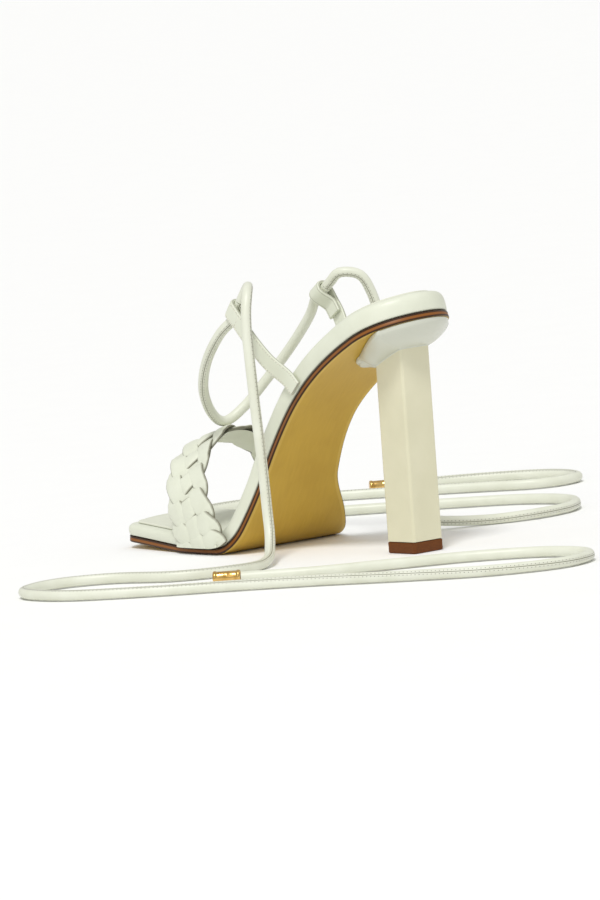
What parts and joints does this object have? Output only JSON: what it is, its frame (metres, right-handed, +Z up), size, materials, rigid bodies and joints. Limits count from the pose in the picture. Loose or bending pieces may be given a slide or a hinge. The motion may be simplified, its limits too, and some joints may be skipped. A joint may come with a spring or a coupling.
{
  "type": "lace up heeled sandal",
  "caption": "High heeled sandal with a square toe, a plaited vamp strap, stitched side straps with loops, and a long round lace that ties round the ankle; square block heel",
  "frame": {"origin": "centre of the standing shoe's box at floor level, measured without the lace's free ends", "axes": "+Z up, +Y toward the toe, +X toward the inner side of the foot (left shoe)"},
  "size_m": [0.4277, 0.3849, 0.1318],
  "materials": {
    "leather": "smooth off-white coated leather, semi-matt",
    "sock": "smooth off-white lining leather, matt",
    "sole_underside": "tan painted underside with a stained brown edge, satin",
    "heel_cover": "cream lacquered heel, satin gloss",
    "heel_tip": "brown hard rubber, matt",
    "lace": "rolled off-white coated cord with one seam, semi-matt",
    "lace_tip_metal": "polished gold plated metal"
  },
  "bodies": {
    "root": {"outsole": "sole_underside", "footbed": "leather", "insole": "sock", "heel": "heel_cover", "top_piece": "heel_tip", "vamp_braid": "leather", "side_strap_lateral": "leather", "side_strap_medial": "leather", "lace_bar": "lace", "lace_end_lateral": "lace", "lace_end_medial": "lace", "aglet_lateral": "lace_tip_metal", "aglet_medial": "lace_tip_metal"}
  },
  "joints": []
}
